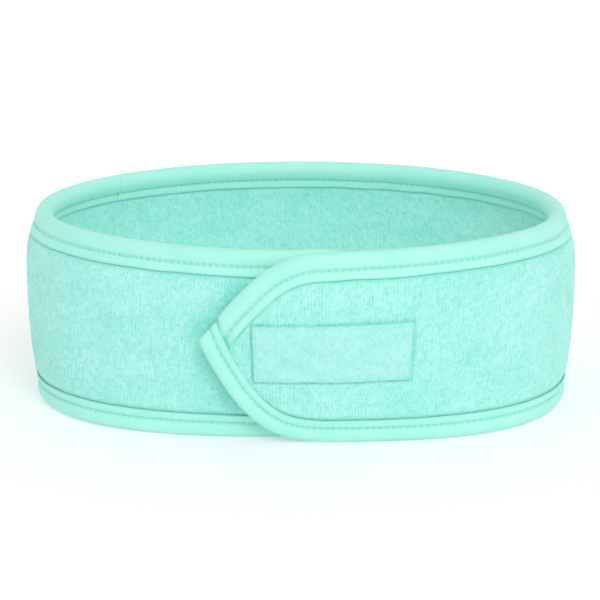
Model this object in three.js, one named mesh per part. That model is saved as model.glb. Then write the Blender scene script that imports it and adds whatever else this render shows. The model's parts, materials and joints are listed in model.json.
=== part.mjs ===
// Spa headband: a terry band with a bound edge, closed into a ring by a hook-and-loop flap.
// Millimetres, +Z up, the front towards -Y. The ring stands on its lower edge at Z = 0.
import * as THREE from 'three';

// The closed ring, measured outside the terry where the wall bulges most.
const ringWidth = 200.6;
const ringDepth = 172.8;
const bandHeight = 70;

// The band's layers, from the middle of the wall outwards.
const panelGap = 0.25; // between the outer and the inner terry panel
const panelThickness = 1.75;
const layerClearance = 0.3; // between one sewn layer and the next
const tapeThickness = 0.5;
const rollPad = 0.425; // how far the padded roll stands out from the hem
const threadThickness = 0.3;
const threadClearance = 0.15;

// The binding, from the finished edge inwards: a padded roll down to the stitching, then a hem.
const stitchLine = 6.2;
const hemWidth = 3.2;
const rimFlat = 2; // the level strip along the rim's crest, which the band stands on

// The wall's upright profile: a barrel, drawn in by the binding at both edges.
const bulgeBelowTop = 19;
const topDrawIn = 4.15;
const bottomDrawIn = 4;
const frontLean = 11.4; // how far the lower edge tucks in at the front
const cornerFlare = 2.5; // how far the lower edge stands out at the front corners

// The closure. Distances along the band are from the front's centre, anticlockwise from above.
const flapTipReach = 35.6; // the outer end's tip, left of the front's centre
const underTipReach = 47.7; // the inner end's tip, right of the front's centre
const flapRoot = 67;
const endsGap = 0.6; // between the two overlapping ends' rims
const easeLength = 95; // over which each end steps away from the plain ring
const easeMargin = 8; // the inner end is fully in this far before the flap's tip
const tipAboveMiddle = 3.8;
const upperTaper = { length: 42, fullness: 2.1 };
const lowerTaper = { length: 55, fullness: 3.7 };
const tipEndRise = 47.5; // degrees; the slope of the binding's squared end at the tip

// The hook-and-loop pieces, halfway up the band.
const patchFromBinding = 3.1; // behind where the two bindings first leave its height free
const patchHeight = 20.8;
const loopLength = 55.8;
const loopThickness = 1.4;
const hookLength = 40;
const hookGap = 0.3; // between the hook patch's stitching and the terry it faces
const patchSeamInset = 1.2;

// The side hinge lines lie this far behind the ring's widest points.
const hingeBehindSide = 37;
const hingeGap = 0.4;

// How finely the curves are cut.
const stationStep = 11;
const taperStations = 11;
const panelLevels = [0, 0.12, 0.3, 0.46, 0.6, 0.7, 0.79, 0.87, 0.94, 1];

// Distances through the wall, out from its middle.
const panelFace = panelGap / 2 + panelThickness;
const tapeInside = panelFace + layerClearance;
const tapeFace = tapeInside + tapeThickness;
const rollFace = tapeFace + rollPad;
const layerStep = 2 * rollFace + endsGap; // between the middles of the two overlapping ends
const threadFoot = tapeFace + threadClearance;
const patchFoot = panelFace + layerClearance;
const hookThickness =
  layerStep - patchFoot - panelFace - hookGap - threadClearance - threadThickness;

// Distances in from the finished edge.
const bindingWidth = stitchLine + hemWidth;
const rollShoulder = 2.2;
const rollFoot = stitchLine - 0.3;
const foldDepth = 2; // the inside of the tape's fold
const panelInset = foldDepth + layerClearance;

// Heights.
const bulgeHeight = bandHeight - bulgeBelowTop;
const tipHeight = bandHeight / 2 + tipAboveMiddle;
const patchBottom = (bandHeight - patchHeight) / 2;

const ringA = ringWidth / 2 - panelFace;
const ringB = ringDepth / 2 - panelFace;
const ring = new THREE.EllipseCurve(0, 0, ringA, ringB, -Math.PI / 2, Math.PI * 1.5);
ring.arcLengthDivisions = 1440;
const ringLength = ring.getLength();

const flapTip = { at: -flapTipReach, away: 1 };
const underTip = { at: ringLength + underTipReach, away: -1 };
const rightHinge = ringLength / 4 + hingeBehindSide;
const leftHinge = (ringLength * 3) / 4 - hingeBehindSide;

const { clamp, lerp, smoothstep } = THREE.MathUtils;

// How far the strip lies outside the plain ring: out at the flap, in at the covered end.
function layerOffset(s) {
  const covered = ringLength - flapTipReach - easeMargin;
  const out = 1 - smoothstep(s, flapRoot, flapRoot + easeLength);
  const inward = smoothstep(s, covered - easeLength, covered);
  return (layerStep / 2) * (out - inward);
}

// How far the barrel's profile draws in at a height.
function drawIn(z) {
  const level = clamp(z, rollShoulder, bandHeight - rollShoulder);
  const upper = bandHeight - rollFace - bulgeHeight;
  const lower = bulgeHeight - rollFace;
  if (level > bulgeHeight) return topDrawIn * ((level - bulgeHeight) / upper) ** 2;
  return bottomDrawIn * ((bulgeHeight - level) / lower) ** 2.5;
}

// How far the wall leans in below its top edge, at a point of the ring.
function leanIn(x, y, z) {
  if (y >= 0) return 0;
  const side = x / ringA;
  const front = y / ringB;
  const below = bandHeight - rollFace - clamp(z, rollFace, bandHeight - rollFace);
  const drop = below / (bandHeight - 2 * rollFace);
  return drop * (frontLean * front ** 4 - cornerFlare * (2 * side * front) ** 2);
}

// The point at a distance along the strip, a height, and a distance out through the wall.
function wallPoint(s, z, out) {
  const { x, y } = ring.getPointAt(THREE.MathUtils.euclideanModulo(s / ringLength, 1));
  const normal = new THREE.Vector2(x / ringA ** 2, y / ringB ** 2).normalize();
  const move = out + layerOffset(s) - drawIn(z) - leanIn(x, y, z);
  return new THREE.Vector3(x + normal.x * move, y + normal.y * move, z);
}

// A closed solid swept through stations. A station turns a section point into a 3-D point.
function sweep(stations, section, closed = false) {
  const count = section.length;
  const rings = stations.map((station) => section.map(([h, out]) => station(h, out)));
  const index = [];
  const last = closed ? rings.length : rings.length - 1;
  for (let i = 0; i < last; i++) {
    const next = (i + 1) % rings.length;
    for (let j = 0; j < count; j++) {
      const k = (j + 1) % count;
      index.push(i * count + j, next * count + j, next * count + k);
      index.push(i * count + j, next * count + k, i * count + k);
    }
  }
  if (!closed) {
    index.push(...endFace(rings[0], 0, 1));
    index.push(...endFace(rings[rings.length - 1], (rings.length - 1) * count, -1));
  }
  const geometry = new THREE.BufferGeometry().setFromPoints(rings.flat());
  geometry.setIndex(index);
  return facingOut(geometry);
}

// The flat face that closes one end of a sweep, cut up by the outline that the end really has.
function endFace(points, offset, facing) {
  const outline = points.map((p) => new THREE.Vector2(Math.hypot(p.x, p.y), p.z));
  const flip = THREE.ShapeUtils.isClockWise(outline) !== facing < 0;
  const triangles = THREE.ShapeUtils.triangulateShape(outline, []);
  return triangles.flatMap(([a, b, c]) => (flip ? [a, c, b] : [a, b, c]).map((i) => i + offset));
}

// Turns the faces over where a sweep ran the other way round its section.
function facingOut(geometry) {
  const at = geometry.getAttribute('position');
  const index = geometry.getIndex();
  const [a, b, c] = [new THREE.Vector3(), new THREE.Vector3(), new THREE.Vector3()];
  let volume = 0;
  for (let i = 0; i < index.count; i += 3) {
    a.fromBufferAttribute(at, index.getX(i));
    b.fromBufferAttribute(at, index.getX(i + 1));
    c.fromBufferAttribute(at, index.getX(i + 2));
    volume += a.dot(b.cross(c));
  }
  if (volume < 0) geometry.setIndex(Array.from(index.array).reverse());
  geometry.computeVertexNormals();
  return geometry;
}

// The distances along a plain stretch of the strip at which it gets a section.
function plainStations(from, to) {
  const list = [from];
  const first = Math.ceil((from + 2) / stationStep) * stationStep;
  for (let s = first; s < to - 2; s += stationStep) list.push(s);
  list.push(to);
  return list;
}

// A pointed end's outline, at a distance from its tip: the heights of both edges and their slopes.
function tipOutline(distance) {
  const edge = ({ length, fullness }, height) => {
    const left = Math.max(1 - distance / length, 0);
    const rise = height * (1 - left ** fullness);
    const slope = (height * fullness * left ** (fullness - 1)) / length;
    return { rise, slope };
  };
  const upper = edge(upperTaper, bandHeight - tipHeight);
  const lower = edge(lowerTaper, tipHeight);
  return {
    top: tipHeight + upper.rise,
    bottom: tipHeight - lower.rise,
    topSlope: upper.slope,
    bottomSlope: lower.slope,
  };
}

// Distances from the tip, closer together near it.
const taperDistances = (length, from = 0) =>
  Array.from({ length: taperStations + 1 }, (_, i) => lerp(from, length, (i / taperStations) ** 1.5));

// A station on an edge: (s, z) is on the finished edge and (alongS, alongZ) points in from it.
const edgeStation = (s, z, alongS, alongZ) => (h, out) => wallPoint(s + alongS * h, z + alongZ * h, out);

// The plain edges, level all round.
const topEdge = (from, to) => plainStations(from, to).map((s) => edgeStation(s, bandHeight, 0, -1));
const bottomEdge = (from, to) => plainStations(from, to).map((s) => edgeStation(s, 0, 0, 1));

// The direction in from a pointed end's edge, turned by the last stations to lie along its cut end.
function inwardAt(perpendicular, cutDirection, share) {
  const direction = perpendicular.clone().lerp(cutDirection, share).normalize();
  return direction.divideScalar(direction.dot(perpendicular));
}

const squaredEnd = new THREE.Vector2(1, Math.tan(THREE.MathUtils.degToRad(tipEndRise))).normalize();
const turnLength = 9; // how far from a cut end the stations start to turn

function lowerInward(distance) {
  const { bottomSlope } = tipOutline(distance);
  const perpendicular = new THREE.Vector2(bottomSlope, 1).normalize();
  return inwardAt(perpendicular, squaredEnd, Math.max(1 - distance / turnLength, 0));
}

// The lower binding runs to the tip, and its squared end covers the upper binding's start.
function lowerTipStations(tip) {
  return taperDistances(lowerTaper.length).map((distance) => {
    const inward = lowerInward(distance);
    const height = tipOutline(distance).bottom;
    return edgeStation(tip.at + tip.away * distance, height, tip.away * inward.x, inward.y);
  });
}

// The upper binding starts at the lower one's inner edge.
function upperTipStations(tip) {
  const corner = lowerInward(0).multiplyScalar(bindingWidth);
  const further = lowerInward(turnLength / 2).multiplyScalar(bindingWidth);
  further.add(new THREE.Vector2(turnLength / 2, tipOutline(turnLength / 2).bottom - tipHeight));
  const cutDirection = further.sub(corner).normalize();
  const start = corner.x + 2 * layerClearance;
  return taperDistances(upperTaper.length, start).map((distance) => {
    const { top, topSlope } = tipOutline(distance);
    const perpendicular = new THREE.Vector2(topSlope, -1).normalize();
    const inward = inwardAt(perpendicular, cutDirection, Math.max(1 - (distance - start) / turnLength, 0));
    return edgeStation(tip.at + tip.away * distance, top, tip.away * inward.x, inward.y);
  });
}

// The U of tape round an edge: a padded roll at the rim, then a flat hem outside the stitching.
function bindingSection() {
  const outside = [
    [bindingWidth, tapeFace],
    [rollFoot, tapeFace],
    [rollFoot - 1.5, rollFace],
    [rollShoulder, rollFace],
    [0, rimFlat / 2],
  ];
  const inside = [
    [foldDepth, tapeInside],
    [stitchLine, tapeInside],
    [bindingWidth, tapeInside],
  ];
  const mirrored = (points) => points.map(([h, out]) => [h, -out]).reverse();
  return [...outside, ...mirrored(outside), ...mirrored(inside), ...inside];
}

// A seam's thread on one face of the binding; face is 1 outside the ring and -1 inside it.
function threadSection(face, line = stitchLine, foot = threadFoot) {
  const half = threadThickness / 2;
  return [
    [line - half, face * foot],
    [line + half, face * foot],
    [line, face * (foot + threadThickness)],
  ];
}

// A terry panel on one face of the wall, between the folds of the two bindings.
function panelSection(face) {
  const near = (face * panelGap) / 2;
  const far = face * panelFace;
  return [...panelLevels.map((f) => [f, far]), ...panelLevels.map((f) => [f, near]).reverse()];
}

const panelStation = (s, low, high) => (f, out) => wallPoint(s, lerp(low, high, f), out);
const plainPanel = (from, to) =>
  plainStations(from, to).map((s) => panelStation(s, panelInset, bandHeight - panelInset));

function tipPanel(tip) {
  const start = 1.5 * panelInset; // where the panel's cut end clears both folds
  return taperDistances(lowerTaper.length, start).map((distance) => {
    const { top, bottom, topSlope, bottomSlope } = tipOutline(distance);
    const low = bottom + panelInset * Math.hypot(1, bottomSlope);
    const high = top - panelInset * Math.hypot(1, topSlope);
    return panelStation(tip.at + tip.away * distance, low, high);
  });
}

const shades = {
  terry: { color: 0xacf5ec, roughness: 0.95 },
  binding: { color: 0xb9f9eb, roughness: 0.7 },
  loop: { color: 0xacf2ea, roughness: 0.9 },
  hook: { color: 0xbff0e6, roughness: 0.6 },
  thread: { color: 0xa5ecdd, roughness: 0.6 },
};

const headband = new THREE.Group();

function add(name, shade, geometry) {
  const material = new THREE.MeshStandardMaterial({ ...shades[shade], metalness: 0 });
  const mesh = new THREE.Mesh(geometry, material);
  mesh.name = name;
  headband.add(mesh);
}

// One length of the band: two terry panels, two bindings, and the two threads of each seam.
function bandLength(name, panel, top, bottom) {
  add(`${name}_outer_terry`, 'terry', sweep(panel, panelSection(1)));
  add(`${name}_inner_terry`, 'terry', sweep(panel, panelSection(-1)));
  for (const [edge, stations] of Object.entries({ top, bottom })) {
    add(`${name}_${edge}_binding`, 'binding', sweep(stations, bindingSection()));
    add(`${name}_${edge}_needle_thread`, 'thread', sweep(stations, threadSection(1)));
    add(`${name}_${edge}_bobbin_thread`, 'thread', sweep(stations, threadSection(-1)));
  }
}

function plainLength(name, from, to) {
  const ends = [from + hingeGap / 2, to - hingeGap / 2];
  bandLength(name, plainPanel(...ends), topEdge(...ends), bottomEdge(...ends));
}

// A length with a pointed end: the taper, then the plain stretch to its hinge line.
function pointedLength(name, tip, hinge) {
  const end = hinge - (tip.away * hingeGap) / 2;
  const join = (tipStations, taperLength, plainEdge) => {
    const shoulder = tip.at + tip.away * taperLength;
    const plain = tip.away > 0 ? plainEdge(shoulder, end) : plainEdge(end, shoulder).reverse();
    return [...tipStations.slice(0, -1), ...plain];
  };
  bandLength(
    name,
    join(tipPanel(tip), lowerTaper.length, plainPanel),
    join(upperTipStations(tip), upperTaper.length, topEdge),
    join(lowerTipStations(tip), lowerTaper.length, bottomEdge),
  );
}

// The distance from the tip at which both bindings first leave the patch's height free.
function patchRoom() {
  const step = 0.05;
  const fits = (distance) => {
    const { top, bottom, topSlope, bottomSlope } = tipOutline(distance);
    const ceiling = top - bindingWidth * Math.hypot(1, topSlope);
    const floor = bottom + bindingWidth * Math.hypot(1, bottomSlope);
    return floor < patchBottom && ceiling > patchBottom + patchHeight;
  };
  let count = 0;
  while (count * step < lowerTaper.length && !fits(count * step)) count += 1;
  return count * step;
}

// A fastener patch on the flap; face is 1 on its outside and -1 on its inside.
function fastener(name, shade, face, length, thickness) {
  const from = flapTip.at + patchRoom() + patchFromBinding;
  const rows = [0, 1 / 3, 2 / 3, 1].map((f) => patchBottom + f * patchHeight);
  const columns = Math.ceil(length / (stationStep / 2));
  const along = (inset) =>
    Array.from({ length: columns + 1 }, (_, i) => from + lerp(inset, length - inset, i / columns));
  const section = [
    ...rows.map((z) => [z, face * patchFoot]),
    ...rows.map((z) => [z, face * (patchFoot + thickness)]).reverse(),
  ];
  const stations = along(0).map((s) => (z, out) => wallPoint(s, z, out));
  add(name, shade, sweep(stations, section));

  // The stitching is one thread all round, just inside the patch's edge.
  const seamRow = (z, inZ) =>
    along(0).map((s, i) => {
      const inS = i === 0 ? 1 : i === columns ? -1 : 0;
      return edgeStation(s, z, inS, inZ);
    });
  const end = (s, inS) => rows.slice(1, -1).map((z) => edgeStation(s, z, inS, 0));
  const loop = [
    ...seamRow(patchBottom, 1),
    ...end(from + length, -1),
    ...seamRow(patchBottom + patchHeight, -1).reverse(),
    ...end(from, 1).reverse(),
  ];
  const seam = threadSection(face, patchSeamInset, patchFoot + thickness + threadClearance);
  add(`${name}_stitching`, 'thread', sweep(loop, seam, true));
}

plainLength('back', rightHinge, leftHinge);
plainLength('right_arm', flapRoot, rightHinge);
pointedLength('left_arm', underTip, leftHinge);
pointedLength('flap', flapTip, flapRoot);
fastener('loop_patch', 'loop', 1, loopLength, loopThickness);
fastener('hook_patch', 'hook', -1, hookLength, hookThickness);

// The origin is under the middle of the whole object, on the surface it stands on.
const box = new THREE.Box3().setFromObject(headband);
const middle = box.getCenter(new THREE.Vector3());
headband.position.set(-middle.x, -middle.y, -box.min.z);

export default headband;
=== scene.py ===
import json
import math
import bpy
import numpy as np
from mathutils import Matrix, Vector


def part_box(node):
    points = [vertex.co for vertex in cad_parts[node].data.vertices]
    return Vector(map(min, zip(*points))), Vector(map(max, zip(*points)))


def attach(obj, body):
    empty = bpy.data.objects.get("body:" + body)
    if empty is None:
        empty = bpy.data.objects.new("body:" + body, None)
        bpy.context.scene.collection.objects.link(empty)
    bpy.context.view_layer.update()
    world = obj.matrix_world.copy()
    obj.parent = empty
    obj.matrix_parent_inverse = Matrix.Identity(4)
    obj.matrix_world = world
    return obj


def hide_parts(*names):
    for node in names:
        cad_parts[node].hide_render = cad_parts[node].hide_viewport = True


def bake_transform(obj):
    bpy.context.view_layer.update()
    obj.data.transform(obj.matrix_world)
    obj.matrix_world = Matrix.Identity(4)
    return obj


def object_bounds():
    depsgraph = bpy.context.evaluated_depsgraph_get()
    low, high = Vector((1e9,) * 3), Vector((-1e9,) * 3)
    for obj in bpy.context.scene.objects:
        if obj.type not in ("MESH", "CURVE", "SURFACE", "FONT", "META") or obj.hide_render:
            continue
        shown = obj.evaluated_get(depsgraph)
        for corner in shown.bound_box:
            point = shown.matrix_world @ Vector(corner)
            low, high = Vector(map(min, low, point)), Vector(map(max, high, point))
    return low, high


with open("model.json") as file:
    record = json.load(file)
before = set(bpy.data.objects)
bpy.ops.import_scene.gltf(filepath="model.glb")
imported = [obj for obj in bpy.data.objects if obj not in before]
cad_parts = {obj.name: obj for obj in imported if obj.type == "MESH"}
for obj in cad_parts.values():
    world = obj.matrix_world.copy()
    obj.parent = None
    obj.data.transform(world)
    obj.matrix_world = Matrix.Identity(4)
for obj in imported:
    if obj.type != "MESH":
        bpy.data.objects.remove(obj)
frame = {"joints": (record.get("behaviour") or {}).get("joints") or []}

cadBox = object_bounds()
print("frame loaded")

mm = 0.001

# A place on the band is told by s, the distance along the strip from the front's centre,
# anticlockwise from above, by z, the height on it, and by the distance out of the middle
# of its wall, all in mm.

# The band's own sizes. The ring's width, height and place come from the frame.
band = dict(
    depth=172.8,          # the ring alone, front to back, outside the terry
    panelFace=1.875,      # middle of the wall to the face of the terry's ground cloth
    rollFace=3.1,         # middle of the wall to the padded rim's face
    rimBeyond=0.14,       # how far the rim passes the terry at the sides
    bulgeBelowTop=19.0, topDrawIn=4.15, bottomDrawIn=4.0,
    frontLean=11.4, cornerFlare=2.5,
    flapReach=35.6,       # the flap's tip, left of the front's centre
    underReach=47.7,      # the covered end's tip, right of the front's centre
    endsGap=0.6, easeLength=95.0, easeMargin=8.0,
    flapRoot=67.0, hingeBehindSide=37.0,
    sideJoin=18.0, backJoin=26.0,   # the lengths are joined this far before the side hinges
    tipAboveMiddle=3.8, upperLength=42.0, upperFullness=2.1,
    lowerLength=55.0, lowerFullness=3.7,
    rimLift=0.9,          # the flap's rim rides up a little where it lies over the covered end
    liftBegins=(-10, 25), liftEnds=(75, 125), liftHeights=(30, 68),
    tipTuck=1.3,          # the upper edge draws in towards the tip
    tuckBegins=(0, 7), tuckEnds=(9, 27),
)

height = (cadBox[1].z - cadBox[0].z) / mm
ringA = (cadBox[1].x - cadBox[0].x) / mm / 2 - band["panelFace"] - band["rimBeyond"]
ringB = band["depth"] / 2 - band["panelFace"]
jointAt = {joint["name"]: Vector(joint["pos_m"]) / mm for joint in frame["joints"]}
centreX = (jointAt["right_arm_open"].x + jointAt["left_arm_open"].x) / 2
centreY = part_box("back_outer_terry")[1].y / mm - band["depth"] / 2
middleZ = height / 2

# the distance run along the plain ring at each turn round it
turns = np.linspace(-math.pi / 2, 1.5 * math.pi, 7201)
ringSteps = np.hypot(np.diff(ringA * np.cos(turns)), np.diff(ringB * np.sin(turns)))
ringRun = np.concatenate([[0], np.cumsum(ringSteps)])
ringLength = ringRun[-1]

flapTip = -band["flapReach"]
underTip = ringLength + band["underReach"]
rightHinge = ringLength / 4 + band["hingeBehindSide"]
leftHinge = 3 * ringLength / 4 - band["hingeBehindSide"]
sideJoin = rightHinge - band["sideJoin"]
backJoin = leftHinge - band["backJoin"]


# an even step from 0 at a to 1 at b
def smooth(x, a, b):
    t = np.clip((x - a) / (b - a), 0, 1)
    return t * t * (3 - 2 * t)


# the flap's end steps out of the plain ring and the covered end steps in
def layerOffset(s):
    covered = ringLength - band["flapReach"] - band["easeMargin"]
    outer = 1 - smooth(s, band["flapRoot"], band["flapRoot"] + band["easeLength"])
    inner = smooth(s, covered - band["easeLength"], covered)
    return (band["rollFace"] + band["endsGap"] / 2) * (outer - inner)


# how far out of the plain ring the wall's middle stands; x and y are on the plain ring
def wallRadius(s, z, x, y):
    bulge = height - band["bulgeBelowTop"]
    rise = np.maximum(z - bulge, 0) / (band["bulgeBelowTop"] - band["rollFace"])
    fall = np.maximum(bulge - z, 0) / (bulge - band["rollFace"])
    drawIn = band["topDrawIn"] * rise ** 2 + band["bottomDrawIn"] * fall ** 2.5
    front, side = np.minimum(y / ringB, 0), x / ringA
    low = (height - band["rollFace"] - z) / (height - 2 * band["rollFace"])
    lean = band["frontLean"] * front ** 4 - band["cornerFlare"] * (2 * side * front) ** 2
    return layerOffset(s) - drawIn - low * lean


# points in metres, for places on the band
def wall(s, z, out):
    s, z, out = np.broadcast_arrays(*[np.asarray(v, float) for v in (s, z, out)])
    turn = np.interp(np.mod(s, ringLength), ringRun, turns)
    x, y = ringA * np.cos(turn), ringB * np.sin(turn)
    nx, ny = x / ringA ** 2, y / ringB ** 2
    size = np.hypot(nx, ny)
    nx, ny = nx / size, ny / size
    level = np.clip(z, band["rollFace"], height - band["rollFace"])
    step = 0.5
    radius = wallRadius(s, level, x, y)
    above, below = wallRadius(s, level + step, x, y), wallRadius(s, level - step, x, y)
    slope = (above - below) / (2 * step)
    slant = np.hypot(slope, 1)
    move = radius + (z - level) * slope / slant + out / slant
    rise = level + (z - level) / slant - out * slope / slant
    along = np.where(s > ringLength, s - ringLength, s)
    lifted = smooth(along, *band["liftBegins"]) * (1 - smooth(along, *band["liftEnds"]))
    rise = rise + band["rimLift"] * lifted * smooth(z, *band["liftHeights"])
    return np.stack([centreX + x + nx * move, centreY + y + ny * move, rise], -1) * mm


# smooth random patches over the strip, from -1 to 1, of about sizeS by sizeZ mm
def patches(s, z, sizeS, sizeZ, seed):
    cells = 256
    table = np.random.default_rng(seed).uniform(-1, 1, (cells, cells))
    a, b = s / sizeS + 1000, z / sizeZ + 1000
    i, j = np.floor(a).astype(int), np.floor(b).astype(int)
    u, v = a - i, b - j
    u, v = u * u * (3 - 2 * u), v * v * (3 - 2 * v)

    def corner(p, q):
        return table[(i + p) % cells, (j + q) % cells]

    low = corner(0, 0) * (1 - u) + corner(1, 0) * u
    high = corner(0, 1) * (1 - u) + corner(1, 1) * u
    return low * (1 - v) + high * v


# The last flatFaces faces stay flat. The painted shade is 0 on the surface and 1 in the deepest
# pits, where it is darkest.
def meshPiece(name, points, faces, material, flatFaces=0, depth=None):
    mesh = bpy.data.meshes.new(name)
    mesh.from_pydata(points.tolist(), [], faces)
    rounded = len(mesh.polygons) - flatFaces
    mesh.polygons.foreach_set("use_smooth", [True] * rounded + [False] * flatFaces)
    depth = np.zeros(len(points)) if depth is None else depth
    shade = mesh.attributes.new("depth", "FLOAT", "POINT")
    shade.data.foreach_set("value", depth.astype(np.float32))
    mesh.materials.append(material)
    piece = bpy.data.objects.new(name, mesh)
    bpy.context.scene.collection.objects.link(piece)
    return piece


# the faces between rows of points; wrap closes each row into a ring
def gridFaces(rows, columns, offset=0, wrap=False):
    across = columns if wrap else columns - 1
    i, j = np.meshgrid(np.arange(rows - 1), np.arange(across), indexing="ij")
    k = (j + 1) % columns
    corners = [i * columns + j, (i + 1) * columns + j, (i + 1) * columns + k, i * columns + k]
    return np.stack(corners, -1).reshape(-1, 4) + offset


# a flat map of the strip, from a pair of numbers for each of the piece's points
def addMap(piece, u, v):
    layer = piece.data.uv_layers.new(name="OFBake")
    at = np.zeros(len(piece.data.loops), int)
    piece.data.loops.foreach_get("vertex_index", at)
    layer.data.foreach_set("uv", np.stack([u[at], v[at]], -1).ravel().astype(np.float32))


# turns the faces over if the solid is inside out
def facingOut(piece):
    mesh = piece.data
    mesh.calc_loop_triangles()
    places = np.zeros(len(mesh.vertices) * 3)
    mesh.vertices.foreach_get("co", places)
    corners = np.zeros(len(mesh.loop_triangles) * 3, int)
    mesh.loop_triangles.foreach_get("vertices", corners)
    a, b, c = places.reshape(-1, 3)[corners.reshape(-1, 3)].transpose(1, 0, 2)
    if (a * np.cross(b, c)).sum() < 0:
        mesh.flip_normals()


# a shader socket that can be used in sums
class Value:
    def __init__(self, cloth, socket):
        self.cloth, self.socket = cloth, socket

    def maths(self, operation, *values):
        return self.cloth.node("Math", dict(operation=operation), values)

    def __add__(self, other):
        return self.maths("ADD", self, other)

    def __radd__(self, other):
        return self.maths("ADD", other, self)

    def __sub__(self, other):
        return self.maths("SUBTRACT", self, other)

    def __rsub__(self, other):
        return self.maths("SUBTRACT", other, self)

    def __mul__(self, other):
        return self.maths("MULTIPLY", self, other)

    def __rmul__(self, other):
        return self.maths("MULTIPLY", other, self)

    # from 0 to 1 as the value goes from low to high
    def between(self, low, high):
        sockets = {0: self, 1: low, 2: high, 3: 0.0, 4: 1.0}
        return self.cloth.node("MapRange", dict(clamp=True), sockets)


mapLength = 262.0     # mm of strip across a piece's map
shaderSockets = dict(
    colour="Base Color", roughness="Roughness", specular="Specular IOR Level",
    sheen="Sheen Weight", sheenRoughness="Sheen Roughness", sheenTint="Sheen Tint",
    glow="Emission Strength", glowColour="Emission Color",
)


# a material and its nodes; what a look says about the shader is set on the shader
class Cloth:
    def __init__(self, name, look):
        self.material = bpy.data.materials.new(name)
        self.material.use_nodes = True
        tree = self.material.node_tree
        self.nodes, self.links = tree.nodes, tree.links
        self.shader = self.nodes["Principled BSDF"]
        for word, socket in shaderSockets.items():
            if word in look:
                self.shader.inputs[socket].default_value = look[word]

    def node(self, kind, settings=None, sockets=None, output=0):
        made = self.nodes.new("ShaderNode" + kind)
        for name, value in (settings or {}).items():
            setattr(made, name, value)
        pairs = sockets.items() if isinstance(sockets, dict) else enumerate(sockets or ())
        for key, value in pairs:
            if isinstance(value, Value):
                self.links.new(value.socket, made.inputs[key])
            else:
                made.inputs[key].default_value = value
        return Value(self, made.outputs[output])

    # a coordinate stretched by three numbers
    def stretched(self, where, scale):
        return self.node("VectorMath", dict(operation="MULTIPLY"), {0: where, 1: scale})

    # the piece's own coordinates, with so many cells to a mm each way
    def place(self, *cells):
        where = self.node("TexCoord", output=3)
        return self.stretched(where, tuple(count / mm for count in cells))

    # coordinates on the flat strip, in cells of so many mm
    def strip(self, alongS, alongZ):
        where = self.node("UVMap", dict(uv_map="OFBake"))
        return self.stretched(where, (mapLength / alongS, mapLength / alongZ, 1))

    # the painted shade that each piece carries, from 0 to 1
    def depth(self):
        return self.node("Attribute", dict(attribute_name="depth"), output=2)

    def noise(self, where, detail=2.0, rough=0.5):
        sockets = {"Vector": where, "Scale": 1.0, "Detail": detail, "Roughness": rough}
        return self.node("TexNoise", {}, sockets)

    def mix(self, share, a, b):
        a, b = [v if isinstance(v, Value) else (*v, 1) for v in (a, b)]
        return self.node("Mix", dict(data_type="RGBA"), {0: share, 6: a, 7: b}, output=2)

    def set(self, socket, value):
        self.links.new(value.socket, self.shader.inputs[socket])

    # the distance is in mm
    def bump(self, rise, distance, strength):
        sockets = {"Strength": strength, "Distance": distance * mm, "Height": rise}
        self.set("Normal", self.node("Bump", {}, sockets))


terryLook = dict(
    # deep is the colour of the painted shade, in the pile's pits and under the flap's edge
    base=(0.43, 0.885, 0.81), pale=(0.50, 0.92, 0.86), deep=(0.14, 0.69, 0.575),
    roughness=0.95, specular=0.1,
    sheen=0.3, sheenRoughness=0.6, sheenTint=(0.85, 1, 0.98, 1),
    pitShare=0.6, tuftShare=0.2, fibreShare=0.26,     # painted shade between the cloth's loops, tufts and fibres
    bumpHeight=0.55, bump=0.8,
)


def terryMaterial():
    look = terryLook
    cloth = Cloth("terry", look)
    tufts = cloth.noise(cloth.strip(0.8, 1.0), 3.0, 0.65)
    fibres = cloth.noise(cloth.strip(0.4, 0.45), 2.0, 0.6)
    clouds = cloth.noise(cloth.place(0.045, 0.045, 0.06))
    body = cloth.mix(clouds.between(0.36, 0.66), look["base"], look["pale"])
    # painted shade: darker in the pits between loops and where the tufts and fibres are low
    pitShade = cloth.depth() * look["pitShare"] \
        + (1 - tufts.between(0.33, 0.55)) * look["tuftShare"] \
        + (1 - fibres.between(0.34, 0.52)) * look["fibreShare"]
    cloth.set("Base Color", cloth.mix(pitShade.between(0, 1), body, look["deep"]))
    cloth.bump(tufts * 0.55 + fibres * 0.45, look["bumpHeight"], look["bump"])
    return cloth.material


tapeLook = dict(
    # deep is the colour of the painted shade at the needle's holes and the hem's edge
    base=(0.42, 0.855, 0.745), shade=(0.325, 0.81, 0.675), deep=(0.16, 0.62, 0.50),
    roughness=0.66, specular=0.2,
    sheen=0.12, sheenRoughness=0.45, sheenTint=(0.9, 1, 0.97, 1),
    softShare=0.4, yarnShare=0.15,
    bumpHeight=0.1, bump=0.35,
)


def tapeMaterial():
    look = tapeLook
    cloth = Cloth("bindingTape", look)
    soft = cloth.noise(cloth.place(0.09, 0.09, 0.09))
    yarn = cloth.noise(cloth.strip(0.45, 0.9))
    shaded = soft.between(0.3, 0.7) * look["softShare"] \
        + yarn.between(0.35, 0.65) * look["yarnShare"]
    body = cloth.mix(shaded, look["base"], look["shade"])
    # painted shade at the needle's holes and the hem's edge, mixed towards the deep colour
    cloth.set("Base Color", cloth.mix(cloth.depth(), body, look["deep"]))
    cloth.bump(yarn, look["bumpHeight"], look["bump"])
    return cloth.material


threadLook = dict(
    base=(0.40, 0.86, 0.74), dark=(0.28, 0.75, 0.62),
    roughness=0.6, specular=0.25, sheen=0.1,
    bumpHeight=0.1, bump=0.4,
)


def threadMaterial():
    look = threadLook
    cloth = Cloth("sewingThread", look)
    twist = cloth.noise(cloth.place(5, 5, 5), 1.0)
    colour = cloth.mix(twist.between(0.35, 0.65), look["base"], look["dark"])
    cloth.set("Base Color", colour)
    cloth.bump(twist, look["bumpHeight"], look["bump"])
    return cloth.material


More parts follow.
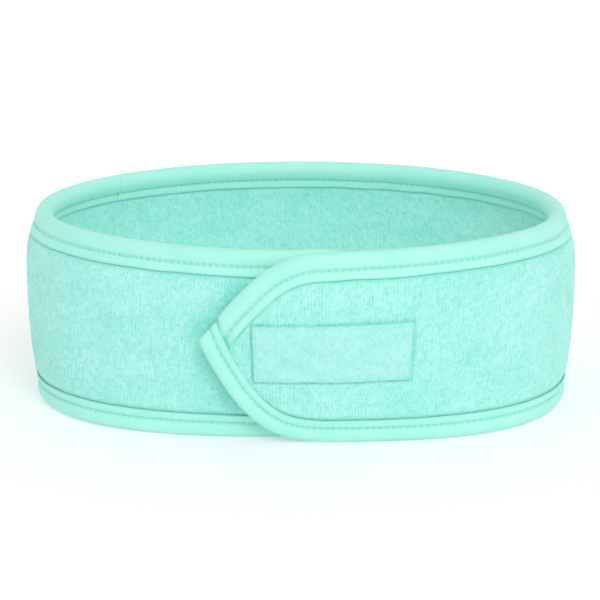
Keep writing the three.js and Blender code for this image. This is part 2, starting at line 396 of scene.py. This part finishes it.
loopLook = dict(
    # deep is the colour of the painted shade in the pile's pits, seam and rim
    base=(0.42, 0.855, 0.79), pale=(0.47, 0.885, 0.825), deep=(0.22, 0.71, 0.62),
    roughness=0.9, specular=0.1,
    sheen=0.35, sheenRoughness=0.5, sheenTint=(0.9, 1, 0.98, 1),
    pitShare=0.6, curlShare=0.3,
    bumpHeight=0.4, bump=0.8,
)


def loopMaterial():
    look = loopLook
    cloth = Cloth("loopPile", look)
    curls = cloth.noise(cloth.strip(0.5, 0.8), 3.0, 0.65)
    clouds = cloth.noise(cloth.place(0.16, 0.16, 0.2))
    body = cloth.mix(clouds.between(0.35, 0.65), look["base"], look["pale"])
    # painted shade: darker in the pile's pits and between the curls
    pitShade = cloth.depth() * look["pitShare"] + (1 - curls.between(0.32, 0.52)) * look["curlShare"]
    cloth.set("Base Color", cloth.mix(pitShade.between(0, 1), body, look["deep"]))
    cloth.bump(curls, look["bumpHeight"], look["bump"])
    return cloth.material


hookLook = dict(
    base=(0.44, 0.90, 0.81), shade=(0.34, 0.83, 0.735),
    roughness=0.45, specular=0.45,
    bumpHeight=0.1, bump=0.3,
)


def hookMaterial():
    look = hookLook
    cloth = Cloth("hookTape", look)
    weave = cloth.noise(cloth.place(2, 2, 2), 1.0)
    colour = cloth.mix(weave.between(0.35, 0.65), look["base"], look["shade"])
    cloth.set("Base Color", colour)
    cloth.bump(weave, look["bumpHeight"], look["bump"])
    return cloth.material


materials = dict(
    terry=terryMaterial(), binding=tapeMaterial(), thread=threadMaterial(),
    loop_tape=loopMaterial(), hook_tape=hookMaterial(),
)
print("materials made")

# The strip's three lengths. Each spans one joint, between the two places in bend, and stands
# for the frame's pieces on the bodies in stands.
lengths = {
    "flap_side": dict(
        ends=(flapTip, sideJoin), tip=flapTip, away=1, bodies=("right_arm", "flap"),
        bend=(band["flapRoot"] + 25, band["flapRoot"] - 25), stands=("flap", "right_arm")),
    "right_back": dict(
        ends=(sideJoin, backJoin), tip=None, away=0, bodies=("back", "right_arm"),
        bend=(rightHinge + 20, rightHinge - 16), stands=("back",)),
    "left_side": dict(
        ends=(backJoin, underTip), tip=underTip, away=-1, bodies=("back", "left_arm"),
        bend=(leftHinge - 22, leftHinge + 22), stands=("left_arm",)),
}


def bendAcross(piece, length):
    first, second = [wall(s, middleZ, 0) for s in length["bend"]]
    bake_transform(piece)


# heights of the top and the bottom edge at a distance from a pointed end's tip
def tipOutline(distance):
    tip = middleZ + band["tipAboveMiddle"]
    up = np.clip(1 - distance / band["upperLength"], 0, 1) ** band["upperFullness"]
    down = np.clip(1 - distance / band["lowerLength"], 0, 1) ** band["lowerFullness"]
    tuck = smooth(distance, *band["tuckBegins"]) * (1 - smooth(distance, *band["tuckEnds"]))
    return tip + (height - tip) * (1 - up) - band["tipTuck"] * tuck, tip * down


patch = dict(
    fromTip=19.0, tall=20.8, loopLong=55.8, hookLong=40.0,
    foot=2.175,           # middle of the wall to the patches' backs
    loopThick=1.6, hookThick=0.8,
    step=0.36,            # mm between the surface's points
    bevel=0.7,            # the edges are rounded this far in
    wobble=0.18,          # how far the cut edges stray
    seamIn=1.1, seamDeep=0.3, seamWide=0.5,
    seamSpots=40, seamJitter=0.16, seamThread=0.4,
)
patchStart = flapTip + patch["fromTip"]

terry = dict(
    stepS=0.37, stepZ=0.72,   # mm between the surface's points
    backColumns=10,
    inset=2.3,            # the cloth's edge lies this far inside the bound edge
    blunt=4.2,            # the panel ends this far inside the point of the binding
    ground=0.125,         # the hidden face of the cloth
    swell=0.6,            # how far the pile stands out beyond the ground cloth
    swellFrom=9.1, swellTo=11.4,   # mm from the edge, where it comes out from under the hem
    wale=0.15, wales=1.12, tuft=0.07, fibre=0.17, nap=0.10,
    crease=0.6, creaseWide=0.6,    # the pile is pressed in beside the patch
    shadowReach=5.0, shadow=2.4,   # painted shadow: the pile is darker where the flap's edge lies on it
    outerSeed=11, innerSeed=37,
)


# height of the pile over its mean, and of its nap, in mm
def pile(s, z, seed):
    nap = patches(s, z, 17, 12, seed + 3) + 0.5 * patches(s, z, 6, 5, seed + 4)
    drift = 0.9 * patches(s, z, 13, 11, seed + 5) + 0.22 * patches(s, z, 3.1, 3.4, seed + 6)
    rows = np.cos(2 * math.pi * (s + drift) / terry["wales"])
    rows = rows * (0.6 + 0.6 * patches(s, z, 2.4, 1.7, seed))
    clumps = patches(s, z, 1.5, 1.3, seed + 1)
    fine = patches(s, z, 0.74, 0.8, seed + 2)
    return terry["wale"] * rows + terry["tuft"] * clumps + terry["fibre"] * fine, terry["nap"] * nap


# how near a place on the flap is to the outline of the patch sewn on it, 1 on the outline
def besidePatch(s, z):
    outS = np.maximum(patchStart - s, s - patchStart - patch["loopLong"])
    outZ = np.abs(z - middleZ) - patch["tall"] / 2
    outside = np.hypot(np.maximum(outS, 0), np.maximum(outZ, 0))
    apart = np.where((outS < 0) & (outZ < 0), np.maximum(outS, outZ), outside)
    return np.exp(-((apart - 0.25) / terry["creaseWide"]) ** 2)


# the painted shadow of the flap's edge on the covered end: how near a place is to the flap's
# outline over it, from 0 to 1
def flapEdgeShadow(s, z):
    s, z = np.broadcast_arrays(s, z)
    overTip = ringLength + flapTip
    distance = np.linspace(0, 45, 120)
    outlineS = np.concatenate([distance, distance]) + overTip
    outlineZ = np.concatenate(tipOutline(distance))
    near = np.zeros_like(s)
    close = s > overTip - 12
    apart = np.hypot(s[close][:, None] - outlineS, z[close][:, None] - outlineZ).min(1)
    near[close] = np.exp(-(apart / terry["shadowReach"]) ** 2)
    return near * (0.65 + 0.35 * patches(s, z, 7, 6, 44))


def terryPanel(lengthName, faceName, face, seed):
    length = lengths[lengthName]
    first, last = length["ends"]
    if length["away"] > 0:
        first += terry["blunt"]
    if length["away"] < 0:
        last -= terry["blunt"]
    clothHeight = height - 2 * terry["inset"]
    rows = int(round((last - first) / terry["stepS"])) + 1
    columns = int(round(clothHeight / terry["stepZ"])) + 1
    few = terry["backColumns"]

    # the outline, and how much longer its slanted edges are than the strip
    s = np.linspace(first, last, rows)[:, None]
    top, bottom = np.full_like(s, height), np.zeros_like(s)
    slantTop = slantBottom = np.ones_like(s)
    if length["tip"] is not None:
        top, bottom = tipOutline(np.abs(s - length["tip"]))
        slantTop = np.hypot(1, np.gradient(top[:, 0], s[:, 0]))[:, None]
        slantBottom = np.hypot(1, np.gradient(bottom[:, 0], s[:, 0]))[:, None]
    low = bottom + terry["inset"] * slantBottom
    high = top - terry["inset"] * slantTop
    z = low + (high - low) * np.linspace(0, 1, columns)[None, :]
    zBack = low + (high - low) * np.linspace(0, 1, few)[None, :]

    # the pile on the seen face, flat under the hems
    edge = np.minimum((z - bottom) / slantBottom, (top - z) / slantTop)
    puff = smooth(edge, terry["swellFrom"], terry["swellTo"])
    tufts, nap = pile(s, z, seed)
    creaseAndFlapShadow = besidePatch(s, z) if lengthName == "flap_side" and face > 0 else 0
    proud = band["panelFace"] + puff * (terry["swell"] + tufts + nap) - terry["crease"] * creaseAndFlapShadow
    front = wall(s, z, face * proud)
    back = wall(s, zBack, face * terry["ground"])
    # painted shadow of the flap's edge, in colour only
    if lengthName == "left_side" and face > 0:
        creaseAndFlapShadow = creaseAndFlapShadow + terry["shadow"] * flapEdgeShadow(s, z)
    # painted shade: darker between the tufts, in the crease beside the patch, in the flap's painted
    # shadow, and darkest flat under the hems
    pitShade = np.clip(0.28 - tufts / 0.42 + 0.5 * creaseAndFlapShadow, 0, 1) * puff + 0.8 * (1 - puff)

    points = np.concatenate([front.reshape(-1, 3), back.reshape(-1, 3)])
    start = rows * columns
    faces = gridFaces(rows, columns).tolist() + gridFaces(rows, few, start)[:, ::-1].tolist()
    for j, k in ((0, 0), (columns - 1, few - 1)):
        for i in range(rows - 1):
            a, b = i * columns + j, start + i * few + k
            quad = [a, a + columns, b + few, b]
            faces.append(quad[::-1] if j == 0 else quad)
    for i in (0, rows - 1):
        cut = [i * columns + j for j in range(columns)]
        cut += [start + i * few + k for k in reversed(range(few))]
        faces.append(cut if i == 0 else cut[::-1])

    depth = np.concatenate([pitShade.ravel(), np.zeros(rows * few)])
    piece = meshPiece(f"{lengthName}_{faceName}_terry", points, faces,
                      materials["terry"], 2, depth)
    sMap = np.concatenate([np.repeat(s, columns, 1).ravel(), np.repeat(s, few, 1).ravel()])
    zMap = np.concatenate([z.ravel(), zBack.ravel() + height + 5])
    addMap(piece, (sMap - first) / mapLength, zMap / mapLength)
    facingOut(piece)
    bendAcross(piece, length)
    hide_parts(*[f"{body}_{faceName}_terry" for body in length["stands"]])
    area = float(((top - bottom).mean() - 2 * terry["inset"]) * (last - first)) * mm * mm
    wide, long = clothHeight * mm, (last - first) * mm
    min(area, wide * long)


for lengthName in lengths:
    terryPanel(lengthName, "outer", 1, terry["outerSeed"])
    terryPanel(lengthName, "inner", -1, terry["innerSeed"])
print("terry panels made")

tape = dict(
    step=0.6,             # mm between the stations along an edge
    roll=6.2, hem=3.2, thickness=0.5,
    face=2.675,           # middle of the wall to the hem's face
    hemDome=0.08, hemEdge=0.12,    # the hem is a little full, and its cut edge lies lower
    rollDepth=3.0,        # from the edge in to the roll's fullest place
    plump=0.25,           # the roll's fullness beyond the plain rim
    groove=0.5, grooveWide=0.42,   # how deep the stitching pulls the tape in
    dip=0.22, dipWide=1.4,
    pitch=2.5,            # mm a stitch
    pucker=0.14, wander=0.10, ripple=0.09, edgeWave=0.16,
    foldDeep=2.0,         # the inside of the fold, from the edge
    turnedIn=1.2,         # the tape's edges beyond the hem, out of sight
    squareTurn=9.0, squareSlope=47.5,
    lift=0.5,             # the squared end lies this far over the run it covers
    liftFrom=16.0, liftFull=8.0,
    tucked=3.0,           # how far the covered run goes in under it
    tuckDrop=0.9, tuckSqueeze=0.34, tuckNarrow=0.06,
    seeds=dict(top=60, bottom=75),
)
tapeWidth = tape["roll"] + tape["hem"]


def unit(v):
    return v / np.linalg.norm(v, axis=-1, keepdims=True)


def runAlong(s, z):
    return np.concatenate([[0], np.cumsum(np.hypot(np.diff(s), np.diff(z)))])


# Points on a bound edge, as s, z, the way in from the edge and the distance from the tip,
# which is far for a length that has no tip.
def edgeRoute(length, side):
    first, last = length["ends"]
    isTop = side == "top"
    if length["tip"] is None:
        s = np.linspace(first, last, int(round((last - first) / tape["step"])) + 1)
        z = np.full_like(s, height if isTop else 0)
        inward = np.tile([0, -1.0 if isTop else 1.0], (len(s), 1))
        return s, z, inward, np.full_like(s, 1000)

    # from the tip outwards, at even steps along the edge
    far = abs((last if length["away"] > 0 else first) - length["tip"])
    distance = np.concatenate([np.linspace(0, 70, 3001), np.linspace(70.1, far, 1500)])
    edgeZ = tipOutline(distance)[0 if isTop else 1]
    squared = np.array([1, math.tan(math.radians(tape["squareSlope"]))])
    squared = squared / np.hypot(*squared)
    begins = squared[0] * tapeWidth * 1.06 + 0.15 - tape["tucked"] * squared[0] if isTop else 0.0
    kept = distance >= begins
    distance, edgeZ = distance[kept], edgeZ[kept]
    run = runAlong(distance, edgeZ)
    at = np.linspace(0, run[-1], int(round(run[-1] / tape["step"])) + 1)
    d, z = np.interp(at, run, distance), np.interp(at, run, edgeZ)
    tangent = unit(np.stack([np.gradient(d), np.gradient(z)], -1))
    inward = np.stack([tangent[:, 1], -tangent[:, 0]], -1) * (1 if isTop else -1)

    # the way in turns into the cut's direction near the tip
    turn = np.clip(1 - at / tape["squareTurn"], 0, 1)[:, None]
    cutWay = np.array([0.45, -0.89]) if isTop else squared
    turned = unit(inward * (1 - turn) + cutWay * turn)
    turned = turned / (turned * inward).sum(-1, keepdims=True)
    turned[:, 0] *= length["away"]
    return length["tip"] + length["away"] * d, z, turned, at


# how far out the tape's face stands at a distance in from the edge
def rollShape(inFrom):
    roll, hem, face = tape["roll"], tape["hem"], tape["face"]
    if inFrom >= tapeWidth - 0.1:
        return face - tape["hemEdge"]
    if inFrom > roll:
        return face + tape["hemDome"] * math.sin(math.pi * (inFrom - roll) / hem)
    share = min((roll - inFrom) / (roll - tape["rollDepth"]), 1)
    return face + (band["rollFace"] + tape["plump"] - face) * math.sin(share * math.pi / 2)


# the tape's outside, from one hem's edge over the rim to the other's
def tapeSection():
    stations = (9.4, 9.25, 8.6, 7.9, 7.2, 6.75, 6.45, 6.2, 5.95, 5.6, 5.1, 4.5, 3.8, 3.0)
    spots = [(h, rollShape(h)) for h in stations]
    deep, fullest = tape["rollDepth"], band["rollFace"] + tape["plump"]
    for angle in np.radians(np.linspace(14, 90, 7)):
        spots.append((deep - deep * math.sin(angle), fullest * math.cos(angle)))
    return np.array(spots + [(h, -out) for h, out in reversed(spots[:-1])])


def bindingPiece(lengthName, side):
    length = lengths[lengthName]
    pointed = length["tip"] is not None
    s, z, inward, fromTip = edgeRoute(length, side)
    run = runAlong(s, z)[:, None]
    section = tapeSection()
    h, out = section[:, 0][None, :], section[:, 1][None, :]
    seed = tape["seeds"][side]
    sAt, zAt, inS, inZ = s[:, None], z[:, None], inward[:, :1], inward[:, 1:]

    # the stitching pulls the tape in, most at the needle's holes, and puckers it
    hole = 0.5 + 0.5 * np.cos(2 * math.pi * run / tape["pitch"])
    fromLine = h - tape["roll"]
    near = np.exp(-(fromLine / tape["grooveWide"]) ** 2)
    wide = np.exp(-(fromLine / tape["dipWide"]) ** 2)
    sink = tape["groove"] * near * (0.5 + 0.5 * hole ** 3) + tape["dip"] * wide
    pucker = tape["pucker"] * wide * (hole - 0.5) * (1 + 0.5 * patches(sAt, h, 7, 30, seed))
    uneven = tape["wander"] * patches(sAt, h, 14, 4, seed + 1) * smooth(h, 9.4, 6) \
        + tape["ripple"] * patches(sAt, h, 3.6, 3, seed + 2) * smooth(h, 5, 8)
    reach = np.minimum(np.abs(out) / 2, 1)
    full = np.sign(out) * (np.abs(out) + (pucker + uneven - sink) * reach)
    inFrom = h + tape["edgeWave"] * patches(sAt, 0 * h, 9, 9, seed + 3) * smooth(h, 6.6, 9.4)

    # the fold's inside
    inside = [(-1, tapeWidth), (-1, 6.0), (-1, tape["foldDeep"])]
    inside += [(1, deep) for way, deep in reversed(inside)]
    insideFrom = np.array([deep for way, deep in inside])[None, :]
    foldHalf = tape["face"] - tape["thickness"]
    insideOut = np.array([way * foldHalf for way, deep in inside])[None, :]

    if pointed:
        # the fold is all but shut at its cut
        insideOut = insideOut * (0.03 + 0.97 * smooth(fromTip, 0.8, 4.5)[:, None])
    if pointed and side == "bottom":
        # the squared end lies over the start of the upper run and rounds over at its cut
        cover = smooth(fromTip, tape["liftFrom"], tape["liftFull"])[:, None]
        rounded = 1 - 0.28 * (1 - np.sqrt(np.clip(fromTip / 1.2, 0, 1)))[:, None]
        full = (full + tape["lift"] * cover * np.clip(out / 2, 0, 1)) * rounded
    if pointed and side == "top":
        # the covered run is squeezed and draws in, so that it stays under the squared end
        start = smooth(fromTip, tape["tucked"] + 1.5, tape["tucked"] - 1.5)[:, None]
        squeeze = 1 - tape["tuckSqueeze"] * start
        full, insideOut = full * squeeze, insideOut * squeeze
        narrow, drop = 1 - tape["tuckNarrow"] * start, tape["tuckDrop"] * start
        inFrom, insideFrom = inFrom * narrow + drop, insideFrom * narrow + drop

    outer = wall(sAt + inS * inFrom, zAt + inZ * inFrom, full)
    inner = wall(sAt + inS * insideFrom, zAt + inZ * insideFrom, insideOut)
    rings = np.concatenate([outer, inner], 1)
    rows, columns = rings.shape[:2]
    faces = gridFaces(rows, columns, wrap=True).tolist()
    faces.append(list(range(columns)))
    faces.append(list(range(rows * columns - 1, (rows - 1) * columns - 1, -1)))

    # painted shade: darker at the needle's holes along the stitch line and in a line along the
    # hem's cut edge; the fold's inside is painted half dark
    holeAndEdgeShade = np.exp(-(fromLine / 0.5) ** 2) * (0.2 + 0.6 * hole ** 2) + 0.5 * smooth(h, 9.15, 9.35)
    depth = np.concatenate([holeAndEdgeShade, np.full((rows, len(inside)), 0.5)], 1).ravel()
    piece = meshPiece(f"{lengthName}_{side}_binding", rings.reshape(-1, 3), faces,
                      materials["binding"], 2, depth)
    across = np.concatenate([runAlong(*section.T), 24 + np.arange(len(inside)) * 4.0])
    along = np.repeat(run, columns, 1).ravel()
    addMap(piece, along / mapLength, np.tile(across, rows) / mapLength)
    facingOut(piece)
    bendAcross(piece, length)
    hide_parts(*[f"{body}_{side}_binding" for body in length["stands"]])
    wide, long = 2 * (tapeWidth + tape["turnedIn"]) * mm, float(run[-1, 0]) * mm
    return dict(s=s, z=z, inward=inward, run=run[:, 0])


stitch = dict(
    thick=0.42, share=0.72,        # share of a stitch's pitch that its thread shows
    sides=6, rings=7,
    arch=0.16, dip=0.10,           # a stitch is arched, and dips in at both ends
    flat=0.8,                      # its section is a little flat
    sunk=0.42,                     # the line lies this far inside the hem's face
    seed=5,
)


# Separate stitches along a line on the wall, each a short piece of thread. They belong to a
# length of the strip, or ride on a body.
def rowOfStitches(name, s, z, out, nodes, body=None, length=None,
                  jitter=0.0, seed=stitch["seed"], thick=stitch["thick"]):
    rng = np.random.default_rng(seed)
    run = runAlong(s, z)
    sides, rings = stitch["sides"], stitch["rings"]
    angle = np.arange(sides) * 2 * math.pi / sides
    a, b = np.cos(angle)[None, :], np.sin(angle)[None, :]
    u = np.linspace(-1, 1, rings)
    radius = thick / 2 * np.sqrt(np.clip(1 - np.abs(u) ** 3, 0.02, 1))
    points, faces = [], []
    for k in range(int(run[-1] / tape["pitch"])):
        middle = (k + 0.5) * tape["pitch"] + rng.uniform(-1, 1) * jitter
        half = tape["pitch"] * stitch["share"] / 2 * (1 + rng.uniform(-1, 1) * jitter)
        sAt, zAt, outAt = [np.interp(middle + u * half, run, v) for v in (s, z, out)]
        across = radius[:, None] * a + rng.uniform(-1, 1) * jitter * 0.35
        tangent = unit(np.stack([np.gradient(sAt), np.gradient(zAt)], -1))
        normal = np.stack([-tangent[:, 1], tangent[:, 0]], -1)
        rise = np.sign(outAt[0]) * (stitch["arch"] * (1 - u ** 2) - stitch["dip"])
        tube = wall(sAt[:, None] + normal[:, :1] * across, zAt[:, None] + normal[:, 1:] * across,
                    (outAt + rise)[:, None] + radius[:, None] * b * stitch["flat"])
        base = k * rings * sides
        points.append(tube.reshape(-1, 3))
        faces += gridFaces(rings, sides, base, wrap=True).tolist()
        faces.append([base + j for j in range(sides)])
        faces.append([base + (rings - 1) * sides + j for j in reversed(range(sides))])
    piece = meshPiece(name, np.concatenate(points), faces, materials["thread"])
    facingOut(piece)
    if length is not None:
        bendAcross(piece, length)
    else:
        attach(piece, body)
    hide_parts(*nodes)


for lengthName, length in lengths.items():
    for side in ("top", "bottom"):
        route = bindingPiece(lengthName, side)
        s = route["s"] + route["inward"][:, 0] * tape["roll"]
        z = route["z"] + route["inward"][:, 1] * tape["roll"]
        pointed = length["tip"] is not None
        covered = tape["tucked"] + 1 if side == "top" and pointed else 0
        seen = route["run"] >= covered
        for thread, face in (("needle", 1), ("bobbin", -1)):
            out = np.full_like(s, face * (tape["face"] - stitch["sunk"]))
            if side == "bottom" and pointed and face > 0:
                out += tape["lift"] * smooth(route["run"], tape["liftFrom"], tape["liftFull"])
            nodes = [f"{body}_{side}_{thread}_thread" for body in length["stands"]]
            rowOfStitches(f"{lengthName}_{side}_{thread}_stitches",
                          s[seen], z[seen], out[seen], nodes, length=length)
print("binding and its stitching made")


# A rectangle of tape with rounded edges. relief(s, z, edge) gives its face's height in mm
# and its painted shade in the pits.
def patchSlab(name, face, long, thick, slotName, relief, node):
    tall, foot = patch["tall"], patch["foot"]
    rows, columns = int(long / patch["step"]) + 1, int(tall / patch["step"]) + 1
    s = np.linspace(0, long, rows)[:, None]
    z = np.linspace(0, tall, columns)[None, :]
    edge = np.minimum(np.minimum(s, long - s), np.minimum(z, tall - z))
    bevel = np.sqrt(np.clip(edge / patch["bevel"], 0, 1))
    raised, pitShade = relief(s, z, edge)
    rise = foot + 0.1 + (thick - 0.1) * bevel + raised * smooth(edge, 0, 0.6)
    stray = patch["wobble"] * patches(s, z, 6, 6, 91) * smooth(edge, 1.2, 0)
    sAt, zAt = patchStart + s, middleZ - tall / 2 + z
    front = wall(sAt + stray, zAt + stray, face * rise)
    back = wall(sAt, zAt, face * (foot - 0.2 + 0 * edge))
    points = np.concatenate([front.reshape(-1, 3), back.reshape(-1, 3)])
    n = rows * columns
    faces = gridFaces(rows, columns).tolist() + gridFaces(rows, columns, n)[:, ::-1].tolist()
    rim = [i * columns for i in range(rows)]
    rim += [(rows - 1) * columns + j for j in range(1, columns)]
    rim += [i * columns + columns - 1 for i in reversed(range(rows - 1))]
    rim += list(reversed(range(1, columns - 1)))
    for a, b in zip(rim, rim[1:] + rim[:1]):
        faces.append([b, a, a + n, b + n])
    # painted shade along the patch's rim
    pitShade = pitShade + 0.6 * smooth(edge, 0.5, 0)
    depth = np.clip(np.concatenate([pitShade.ravel(), np.zeros(n)]), 0, 1)
    piece = meshPiece(name, points, faces, materials[slotName], len(rim), depth)
    u = np.tile(np.repeat(s, columns, 1).ravel(), 2)
    v = np.repeat(z, rows, 0).ravel()
    addMap(piece, u / mapLength, np.concatenate([v, v + 30]) / mapLength)
    facingOut(piece)
    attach(piece, "flap")
    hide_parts(node)
    return piece


# short curls of pile in rows, sunk along the seam, with painted shade between the curls and in the
# seam
def loopRelief(s, z, edge):
    curl = 0.10 * patches(s, z, 0.8, 1.3, 21) + 0.06 * np.cos(2 * math.pi * s / 0.95) \
        + 0.06 * patches(s, z, 1.7, 1.5, 22)
    seam = np.exp(-((edge - patch["seamIn"]) / patch["seamWide"]) ** 2)
    rise = curl + 0.14 * patches(s, z, 7, 5, 23) - patch["seamDeep"] * seam
    return rise, np.clip(0.2 - curl / 0.3 + 0.12 * seam, 0, 1)


# a plain weave
def hookRelief(s, z, edge):
    weave = np.sin(2 * math.pi * s / 0.8) * np.sin(2 * math.pi * z / 0.8)
    return 0.05 * weave, 0 * weave


def patchSeam(name, face, long, out, node, seed):
    inset = patch["seamIn"]
    s0, s1 = patchStart + inset, patchStart + long - inset
    z0, z1 = middleZ - patch["tall"] / 2 + inset, middleZ + patch["tall"] / 2 - inset
    corners = np.array([(s0, z0), (s1, z0), (s1, z1), (s0, z1), (s0, z0)])
    sides = [np.linspace(a, b, patch["seamSpots"], endpoint=False)
             for a, b in zip(corners, corners[1:])]
    s, z = np.concatenate(sides).T
    rowOfStitches(name, s, z, np.full_like(s, face * out), [node], body="flap",
                  jitter=patch["seamJitter"], seed=seed, thick=patch["seamThread"])


loopFace = patch["foot"] + patch["loopThick"]
hookFace = patch["foot"] + patch["hookThick"]
loopPatch = patchSlab("loop_patch_pile", 1, patch["loopLong"], patch["loopThick"],
                      "loop_tape", loopRelief, "loop_patch")
hookPatch = patchSlab("hook_patch_tape", -1, patch["hookLong"], patch["hookThick"],
                      "hook_tape", hookRelief, "hook_patch")
patchSeam("loop_patch_stitches", 1, patch["loopLong"], loopFace - 0.4,
          "loop_patch_stitching", 3)
patchSeam("hook_patch_stitches", -1, patch["hookLong"], hookFace + 0.05,
          "hook_patch_stitching", 4)

bristle = dict(
    pitch=1.35, tall=0.95, thick=0.2,
    over=0.5,             # how far a hook bends over
    clearS=(2.6, 2.4), clearZ=(2.4, 2.2),    # bare tape at the ends and along the sides
    stray=0.1, rings=6, sides=4, seed=8,
)


# the hook tape's bristles, short stems bent over at the top, each row the other way
def hooks():
    rings, sides = bristle["rings"], bristle["sides"]
    rng = np.random.default_rng(bristle["seed"])
    bend = np.linspace(0, 1, rings)
    angle = np.arange(sides) * 2 * math.pi / sides
    a, b = [turn(angle)[None, :] * bristle["thick"] / 2 for turn in (np.cos, np.sin)]
    over = bristle["over"] * np.sin(bend * math.pi * 0.8) * bend
    rise = hookFace + bristle["tall"] * np.sin(bend * math.pi * 0.62)
    stops = patch["hookLong"] - bristle["clearS"][1], patch["tall"] - bristle["clearZ"][1]
    points, faces = [], []
    for s in np.arange(bristle["clearS"][0], stops[0], bristle["pitch"]):
        for z in np.arange(bristle["clearZ"][0], stops[1], bristle["pitch"]):
            way = 1 if int(round(z / bristle["pitch"])) % 2 else -1
            sAt = patchStart + s + rng.uniform(-bristle["stray"], bristle["stray"])
            zAt = middleZ - patch["tall"] / 2 + z
            stem = wall(sAt + a + 0 * bend[:, None], zAt + way * over[:, None] + b, -rise[:, None])
            base = len(points) * rings * sides
            points.append(stem.reshape(-1, 3))
            faces += gridFaces(rings, sides, base, wrap=True).tolist()
            faces.append([base + j for j in range(sides)])
            faces.append([base + (rings - 1) * sides + j for j in reversed(range(sides))])
    piece = meshPiece("hook_patch_hooks", np.concatenate(points), faces,
                      materials["hook_tape"])
    facingOut(piece)
    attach(piece, "flap")


hooks()
print("fastener patches made")

studio = dict(
    floorSize=6.0, world=0.84,
    key=0.95, keyFrom=(0.24, -0.78, 0.58), keySpread=24,
    distance=1.2, elevation=13.65, lens=193.6, sensor=36, aimZ=33.6,
)
floorLook = dict(
    colour=(0.66, 0.665, 0.665, 1), roughness=0.8, glow=0.34, glowColour=(1, 1, 1, 1),
)


def makeFloor():
    size = studio["floorSize"]
    corners = [(-size, -size, 0), (size, -size, 0), (size, size, 0), (-size, size, 0)]
    mesh = bpy.data.meshes.new("floor")
    mesh.from_pydata(corners, [], [(0, 1, 2, 3)])
    mesh.materials.append(Cloth("paleFloor", floorLook).material)
    floor = bpy.data.objects.new("floor", mesh)
    bpy.context.scene.collection.objects.link(floor)


def makeLights():
    world = bpy.data.worlds.new("softStudio")
    world.use_nodes = True
    background = world.node_tree.nodes["Background"]
    background.inputs["Color"].default_value = (1, 1, 1, 1)
    background.inputs["Strength"].default_value = studio["world"]
    bpy.context.scene.world = world
    light = bpy.data.lights.new("keyLight", "SUN")
    light.energy, light.angle = studio["key"], math.radians(studio["keySpread"])
    lamp = bpy.data.objects.new("keyLight", light)
    bpy.context.scene.collection.objects.link(lamp)
    lamp.rotation_euler = Vector(studio["keyFrom"]).to_track_quat("Z", "Y").to_euler()


def makeCamera():
    scene = bpy.context.scene
    lens = bpy.data.cameras.new("camera")
    lens.lens, lens.sensor_width = studio["lens"], studio["sensor"]
    lens.clip_start, lens.clip_end = 0.05, 50
    camera = bpy.data.objects.new("camera", lens)
    scene.collection.objects.link(camera)
    tilt = math.radians(studio["elevation"])
    aim = Vector((centreX, centreY, studio["aimZ"])) * mm
    camera.location = aim + studio["distance"] * Vector((0, -math.cos(tilt), math.sin(tilt)))
    camera.rotation_euler = (aim - camera.location).to_track_quat("-Z", "Y").to_euler()
    scene.camera = camera
    scene.view_settings.view_transform = "Standard"


makeFloor()
makeLights()
makeCamera()
print("studio made")
